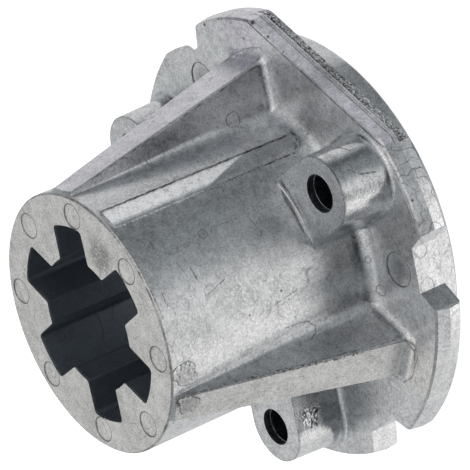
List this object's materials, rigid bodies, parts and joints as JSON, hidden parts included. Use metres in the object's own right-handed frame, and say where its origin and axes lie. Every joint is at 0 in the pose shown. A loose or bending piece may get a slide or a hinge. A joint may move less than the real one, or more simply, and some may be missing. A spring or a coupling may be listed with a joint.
{
  "type": "mower blade adapter",
  "caption": "Die-cast hub with a toothed splined bore, tapering ribs, screw bosses and a notched round flange with one rim flat, which carries a mower blade on a crankshaft.",
  "frame": {"origin": "on the hub axis, at the underside of the spigot behind the flange", "axes": "+Z along the hub axis and out of the splined nose; +Y from the axis towards one screw boss; the rim flat faces 120 degrees from +X"},
  "size_m": [0.0756, 0.0768, 0.0488],
  "materials": {
    "cast_metal": "as-cast, satin and mottled"
  },
  "bodies": {
    "root": {"adapter_body": "cast_metal"}
  },
  "joints": []
}
